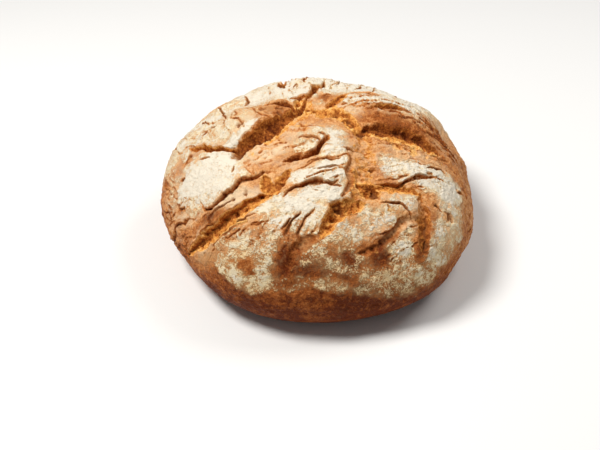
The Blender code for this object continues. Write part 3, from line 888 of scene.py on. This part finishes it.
# Where the flour lies: the middle and the reach of each floury place, and how thick it is
FLOUR = (
    # The left plate, and what lies behind it
    ((-0.084, -0.047), (0.034, 0.025), 1.00),
    ((-0.120, -0.040), (0.014, 0.024), 0.46),
    ((-0.096, 0.018), (0.036, 0.030), 0.80),
    ((-0.124, 0.006), (0.024, 0.022), 0.60),
    ((-0.074, -0.006), (0.022, 0.015), 0.70),
    ((-0.052, 0.050), (0.026, 0.030), 0.80),
    ((-0.063, -0.025), (0.009, 0.005), 1.10),
    ((-0.055, -0.020), (0.009, 0.0035), 0.98),
    ((-0.047, -0.013), (0.009, 0.0030), 0.72),
    ((-0.060, 0.010), (0.018, 0.012), 0.50),
    # Behind the crown
    ((-0.018, 0.055), (0.024, 0.034), 0.98),
    ((0.035, 0.062), (0.060, 0.030), 1.05),
    ((0.050, 0.020), (0.032, 0.011), 0.95),
    ((0.027, 0.016), (0.010, 0.008), 0.85),
    ((0.060, 0.030), (0.026, 0.012), 0.66),
    ((0.002, 0.020), (0.010, 0.012), 0.45),
    # The centre plate and the fold behind it
    ((0.012, -0.040), (0.012, 0.022), 0.90),
    ((0.010, -0.062), (0.013, 0.014), 0.90),
    ((-0.008, -0.065), (0.016, 0.006), 0.96),
    ((0.006, -0.078), (0.020, 0.009), 0.92),
    ((-0.006, -0.037), (0.012, 0.008), 0.74),
    ((0.002, -0.026), (0.012, 0.007), 0.66),
    # The right plate and the small one beside it
    ((0.058, -0.046), (0.022, 0.012), 0.90),
    ((0.092, -0.047), (0.026, 0.015), 0.94),
    ((0.103, -0.074), (0.015, 0.026), 0.68),
    ((0.096, -0.097), (0.014, 0.020), 0.66),
    ((0.076, -0.122), (0.024, 0.010), 0.64),
    ((0.062, -0.075), (0.016, 0.008), 0.62),
    ((0.067, -0.098), (0.009, 0.012), 0.64),
    ((0.064, -0.110), (0.014, 0.009), 0.60),
    ((0.044, -0.093), (0.018, 0.012), 0.60),
    ((0.020, -0.106), (0.020, 0.009), 0.66),
    # The front plate, which is rubbed in places
    ((-0.020, -0.090), (0.026, 0.013), 0.94),
    ((-0.009, -0.100), (0.012, 0.009), 0.82),
    ((-0.050, -0.106), (0.034, 0.013), 0.60),
    ((-0.078, -0.116), (0.008, 0.009), 0.66),
    ((-0.068, -0.127), (0.010, 0.010), 0.72),
    ((-0.050, -0.136), (0.016, 0.008), 0.72),
    ((-0.042, -0.124), (0.010, 0.008), 0.66),
    ((-0.036, -0.112), (0.012, 0.007), 0.62),
    ((-0.024, -0.140), (0.022, 0.006), 0.50),
    ((-0.004, -0.117), (0.014, 0.006), 0.56),
    ((0.020, -0.117), (0.024, 0.006), 0.46),
    ((0.010, -0.141), (0.018, 0.006), 0.58),
    ((0.048, -0.132), (0.022, 0.008), 0.60),
    ((0.046, -0.143), (0.026, 0.005), 0.44),
    ((0.018, -0.128), (0.020, 0.005), 0.50),
    ((0.020, -0.121), (0.050, 0.012), 0.40),
    ((0.074, -0.134), (0.016, 0.007), 0.56),
    ((0.032, -0.121), (0.010, 0.003), 0.56),
    # The back
    ((-0.060, 0.090), (0.050, 0.034), 0.80),
    ((0.040, 0.104), (0.060, 0.034), 0.80),
    ((0.100, 0.075), (0.032, 0.030), 0.60),
    ((-0.122, 0.060), (0.026, 0.034), 0.66),
    ((0.000, 0.140), (0.090, 0.014), 0.34),
)
# Where only a thin veil of it stuck to the skin, which lets the brown through
VEIL = (
    ((0.092, 0.040), (0.030, 0.024), 0.62),
    ((-0.124, -0.045), (0.026, 0.036), 0.48),
    ((-0.104, -0.067), (0.024, 0.011), 0.56),
    ((-0.062, -0.074), (0.026, 0.009), 0.80),
    ((-0.070, -0.001), (0.034, 0.024), 0.85),
    ((-0.036, 0.009), (0.016, 0.013), 0.42),
    ((-0.038, -0.040), (0.028, 0.014), 0.66),
    ((-0.008, -0.024), (0.028, 0.016), 0.52),
    ((-0.012, -0.056), (0.018, 0.010), 0.50),
    ((0.070, -0.030), (0.042, 0.012), 0.36),
    ((0.034, -0.044), (0.014, 0.024), 0.50),
    ((0.064, 0.010), (0.034, 0.009), 0.66),
    ((0.022, 0.006), (0.014, 0.013), 0.62),
    ((0.102, 0.008), (0.024, 0.024), 0.46),
    ((-0.092, -0.104), (0.026, 0.012), 0.55),
    ((0.010, -0.120), (0.074, 0.016), 0.14),
    ((-0.075, -0.092), (0.050, 0.010), 0.40),
)
# Where it was rubbed off or never lay
BARE = (
    ((-0.085, -0.084), (0.024, 0.004), 0.4),
    ((-0.046, -0.092), (0.032, 0.003), 0.5),
    ((0.036, -0.046), (0.010, 0.030), 0.8),
    ((0.058, -0.004), (0.030, 0.007), 0.9),
    ((0.056, -0.028), (0.034, 0.009), 0.7),
    ((0.098, 0.004), (0.022, 0.024), 0.7),
    ((0.012, -0.008), (0.016, 0.012), 0.5),
    ((-0.026, -0.121), (0.006, 0.010), 0.9),
    ((0.024, -0.123), (0.006, 0.005), 0.6),
    ((-0.058, -0.121), (0.006, 0.003), 0.9),
    ((-0.053, -0.125), (0.004, 0.005), 0.8),
    ((0.097, -0.073), (0.006, 0.004), 0.8),
    ((-0.030, -0.139), (0.012, 0.004), 0.6),
    ((0.007, 0.025), (0.005, 0.005), 0.7),
    ((0.048, -0.118), (0.009, 0.006), 0.7),
    ((0.078, -0.096), (0.006, 0.013), 1.0),
    ((0.038, -0.114), (0.009, 0.004), 0.5),
)
FLOUR_EDGE = 2.2
# How unevenly it lies: the size of the uneven places, how much they change it, and their seed
FLOUR_CLOUDS = ((0.013, 0.20, 8), (0.006, 0.16, 12))
flour = np.zeros(count)
for middle, reach, amount in FLOUR:
    offset = (frayed - middle) / reach
    flour = np.maximum(flour, amount * np.exp(-((offset**2).sum(axis=1) / 1.35) ** FLOUR_EDGE))
for middle, reach, share in BARE:
    offset = (frayed - middle) / reach
    flour *= 1 - share * np.exp(-((offset**2).sum(axis=1) ** 1.5))
veil = 0.8 * flour
for middle, reach, amount in VEIL:
    offset = (frayed - middle) / reach
    veil = np.maximum(veil, amount * np.exp(-((offset**2).sum(axis=1) ** 1.5)))
veil *= 1 + 0.5 * streaks
dusted = smooth_step(flour, 0.02, 0.3)
clouds = sum(share * waves(points, size, seed) for size, share, seed in FLOUR_CLOUDS)
flour += dusted * (clouds + 0.26 * stands_out.clip(-1.5, 1) + 0.14 * streaks)
steep = smooth_step(steep, 0.7, 1.6)
flour -= 0.45 * wrinkle + 0.55 * steep
veil += 0.2 * stands_out.clip(-1.5, 1) * veil - 0.3 * wrinkle - 0.35 * steep
flour *= 1 - smooth_step(burst.opened, 0.05, 0.5)
veil *= 1 - smooth_step(burst.torn, 0.3, 0.8)
flour *= 1 - 0.85 * np.maximum(burst.crack, smooth_step(pitted, 0.2, 0.6))

# How dark the crust is painted: its own browning, golden on top and darker towards the bottom, with
# painted shade laid over it. Of the patches, those under the tall plate, along the step of the left plate,
# at the centre plate's right edge and in the hollow in front of the fold paint shadow
BROWNED_AND_SHADED = (
    ((0.060, -0.004), (0.030, 0.007), 0.42),
    ((0.092, 0.004), (0.034, 0.026), 0.16),
    ((-0.034, 0.005), (0.018, 0.011), 0.44),
    ((0.007, 0.025), (0.006, 0.005), 0.34),
    ((-0.084, -0.081), (0.014, 0.0035), 0.45),
    ((-0.088, -0.084), (0.024, 0.005), 0.22),
    ((0.026, -0.072), (0.004, 0.012), 0.40),
    ((0.079, -0.096), (0.006, 0.013), 0.60),
    ((0.060, -0.094), (0.006, 0.008), 0.25),
    ((0.050, -0.106), (0.006, 0.007), 0.25),
    ((0.048, -0.118), (0.008, 0.007), 0.35),
    ((0.020, -0.124), (0.050, 0.012), 0.18),
    ((-0.012, -0.126), (0.010, 0.012), 0.20),
    ((0.024, -0.122), (0.006, 0.006), 0.25),
    ((-0.026, -0.121), (0.006, 0.010), 0.34),
    ((-0.010, -0.044), (0.013, 0.007), 0.35),
    ((0.036, -0.048), (0.012, 0.030), 0.12),
    ((0.058, -0.028), (0.034, 0.010), -0.04),
)
# Darker towards the bottom, partly the crust's own browning and partly painted shade, and darker in front
# as painted shade
bake_shade_and_light = 0.30 + 0.34 * smooth_step(length, 0.110, 0.190)
bake_shade_and_light += 0.38 * smooth_step(-places[:, 1], 0.085, 0.140)
for middle, reach, amount in BROWNED_AND_SHADED:
    offset = (frayed - middle) / reach
    bake_shade_and_light += amount * np.exp(-(offset**2).sum(axis=1))
# Painted shade in the wrinkles and on steep faces, and painted light on what stands out; the streaks are
# the skin's own
bake_shade_and_light += 0.28 * wrinkle - 0.24 * stands_out.clip(-1.5, 1.5) - 0.16 * streaks
bake_shade_and_light += 0.16 * steep

# How dark the crumb is painted: darker with depth and in the bubbles as painted shade, darker on the walls
# that face the front, partly toasted and partly painted shade, lighter on what stands out as painted
# light, and golden at the edges, partly its own colour and partly painted highlight
crumb_tone_shade_and_light = 0.14 + 0.50 * burst.toast_and_shade + 0.34 * burst.down / 0.010 + 0.35 * bubble
golden_and_lit_rim = (1 - smooth_step(burst.opened, 0.4, 0.95)) * (1 - 1.2 * burst.toast_and_shade)
crumb_tone_shade_and_light -= 0.30 * stands_out.clip(-1.2, 1.2) * (1 - 0.8 * burst.toast_and_shade) + 0.35 * golden_and_lit_rim

for name, values in (
    ("flour", flour),
    ("veil", veil),
    ("torn", burst.torn),
    ("crumb_tone_shade_and_light", crumb_tone_shade_and_light),
    ("bake_shade_and_light", bake_shade_and_light),
    ("crack", np.maximum(burst.crack, smooth_step(pitted, 0.3, 0.8))),
):
    layer = mesh.attributes.new(name, "FLOAT", "POINT")
    layer.data.foreach_set("value", values.clip(0, 1).astype(np.float32))
mesh.update()

thin = loaf.modifiers.new("Thin", "DECIMATE")
thin.ratio = min(1, LOAF_TRIANGLES / (2 * len(mesh.polygons)))
bpy.ops.object.modifier_apply(modifier=thin.name)

# It settles on the floor, over the middle of the solid
points = np.empty(len(mesh.vertices) * 3, np.float32)
mesh.vertices.foreach_get("co", points)
points = points.reshape(-1, 3)
points[points[:, 2] < BASE_SNAP, 2] = 0
points[:, :2] -= (points[:, :2].min(axis=0) + points[:, :2].max(axis=0)) / 2
mesh.vertices.foreach_set("co", points.ravel())
mesh.update()
mesh.shade_smooth()

# Its finish: crust that browned unevenly, with painted shade and painted light in its darkness, flour that
# lies on it in grains, and moist golden crumb with painted shade in its depths
finish = bpy.data.materials.new("floured crust")
finish.use_nodes = True
tree = finish.node_tree
shader = tree.nodes["Principled BSDF"]
place = tree.nodes.new("ShaderNodeTexCoord").outputs["Object"]


def attribute(name):
    node = tree.nodes.new("ShaderNodeAttribute")
    node.attribute_name = name
    return node.outputs["Fac"]


def grains(scale, detail=3.0, roughness=0.55):
    node = tree.nodes.new("ShaderNodeTexNoise")
    node.inputs["Scale"].default_value = scale
    node.inputs["Detail"].default_value = detail
    node.inputs["Roughness"].default_value = roughness
    tree.links.new(place, node.inputs["Vector"])
    return node.outputs["Fac"]


def dots(scale):
    node = tree.nodes.new("ShaderNodeTexVoronoi")
    node.inputs["Scale"].default_value = scale
    tree.links.new(place, node.inputs["Vector"])
    return reckon("SUBTRACT", 1.0, node.outputs["Distance"])


def put(value, socket):
    if isinstance(value, bpy.types.NodeSocket):
        tree.links.new(value, socket)
    else:
        socket.default_value = value


def reckon(operation, first, second=0.0, clamp=False):
    node = tree.nodes.new("ShaderNodeMath")
    node.operation = operation
    node.use_clamp = clamp
    put(first, node.inputs[0])
    put(second, node.inputs[1])
    return node.outputs["Value"]


def stretch(value, low, high, new_low=0.0, new_high=1.0, smooth=True):
    node = tree.nodes.new("ShaderNodeMapRange")
    node.interpolation_type = "SMOOTHSTEP" if smooth else "LINEAR"
    put(value, node.inputs["Value"])
    node.inputs["From Min"].default_value = low
    node.inputs["From Max"].default_value = high
    node.inputs["To Min"].default_value = new_low
    node.inputs["To Max"].default_value = new_high
    return node.outputs["Result"]


def blend(share, first, second):
    node = tree.nodes.new("ShaderNodeMix")
    node.data_type = "RGBA"
    put(share, node.inputs["Factor"])
    put(first, node.inputs["A"])
    put(second, node.inputs["B"])
    return node.outputs["Result"]


def tones(value, *stops):
    node = tree.nodes.new("ShaderNodeValToRGB")
    put(value, node.inputs["Fac"])
    elements = node.color_ramp.elements
    while len(elements) < len(stops):
        elements.new(0.5)
    for element, (position, colour) in zip(elements, stops):
        element.position = position
        element.color = (*colour, 1)
    return node.outputs["Color"]


flour_amount = attribute("flour")
torn_amount = attribute("torn")
# The crust's darkness: its browning with painted shade and painted light in it
browning_shade_and_light = attribute("bake_shade_and_light")
broad = grains(45, 3)
clumps = grains(150, 3)
speckle = grains(400, 3)
fine = grains(850, 2, 0.7)
grit = dots(900)


def stirred(start, *parts):
    """The start with noise stirred in: each part is a noise and how far it pushes either way."""
    total = start
    for part, share in parts:
        total = reckon("ADD", total, reckon("MULTIPLY", reckon("SUBTRACT", part, 0.5), share))
    return total


crust_tone = stirred(browning_shade_and_light, (broad, 0.7), (clumps, 0.8), (speckle, 0.9), (grit, 0.35))
crust_colour = tones(
    crust_tone,
    (0.05, (0.72, 0.41, 0.19)),
    (0.30, (0.57, 0.240, 0.075)),
    (0.60, (0.35, 0.100, 0.020)),
    (1.0, (0.12, 0.020, 0.003)),
)
# Flour is painted darker and yellower over darker crust: partly the brown showing through thin flour,
# partly the painted shade on the front and low sides that the crust value carries
flour_colour = tones(
    stirred(
        reckon("SUBTRACT", flour_amount, reckon("MULTIPLY", browning_shade_and_light, 0.5)),
        (speckle, 0.5), (fine, 0.5), (broad, 0.7),
    ),
    (0.12, (0.77, 0.55, 0.29)),
    (0.38, (0.79, 0.65, 0.41)),
    (0.68, (0.73, 0.66, 0.54)),
)
veil_grain = stirred(attribute("veil"), (broad, 0.4), (clumps, 0.6), (speckle, 0.5))
veiled = stretch(veil_grain, 0.05, 0.85, 0.0, 0.72)
heaped = stirred(0.0, (clumps, 1.2), (speckle, 1.2), (fine, 1.1), (grit, 0.6))
heaped = reckon("MULTIPLY", heaped, stretch(flour_amount, 0.18, 0.5))
cover = stretch(reckon("ADD", flour_amount, heaped), 0.36, 0.78, 0.0, 0.95)
cover = reckon("MULTIPLY", cover, stretch(flour_amount, 0.03, 0.25))
# The veil follows the crust's darkness too, painted shade included
veil_colour = tones(
    browning_shade_and_light,
    (0.30, (0.76, 0.61, 0.41)),
    (0.60, (0.70, 0.42, 0.18)),
)
skin_colour = blend(cover, blend(veiled, crust_colour, veil_colour), flour_colour)

# The crumb's colour from its painted darkness, painted shade and highlight included
crumb_colour = tones(
    stirred(attribute("crumb_tone_shade_and_light"), (clumps, 0.5), (speckle, 1.0), (grit, 0.35)),
    (0.0, (0.86, 0.50, 0.17)),
    (0.22, (0.70, 0.30, 0.062)),
    (0.50, (0.40, 0.120, 0.020)),
    (0.85, (0.13, 0.026, 0.005)),
)
shown = stretch(stirred(torn_amount, (clumps, 0.8), (speckle, 0.9)), 0.3, 0.6)
colour = blend(shown, skin_colour, crumb_colour)
# Painted shade: the fine cracks and the pits are painted near black-brown as the shadow in their grooves
# and holes, and in the pits partly the dark of walnut
dark = reckon("MULTIPLY", attribute("crack"), 0.92)
tree.links.new(blend(dark, colour, (0.20, 0.066, 0.018, 1)), shader.inputs["Base Color"])

put(stretch(cover, 0.0, 0.9, 0.55, 0.95), shader.inputs["Roughness"])
shader.inputs["Specular IOR Level"].default_value = 0.07

bump = tree.nodes.new("ShaderNodeBump")
bump.inputs["Strength"].default_value = 1.0
bump.inputs["Distance"].default_value = 0.0010
put(stirred(reckon("MULTIPLY", cover, 0.3), (speckle, 1.2), (fine, 0.9)), bump.inputs["Height"])
tree.links.new(bump.outputs["Normal"], shader.inputs["Normal"])
loaf.data.materials.append(finish)

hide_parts("loaf")
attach(loaf, "root")
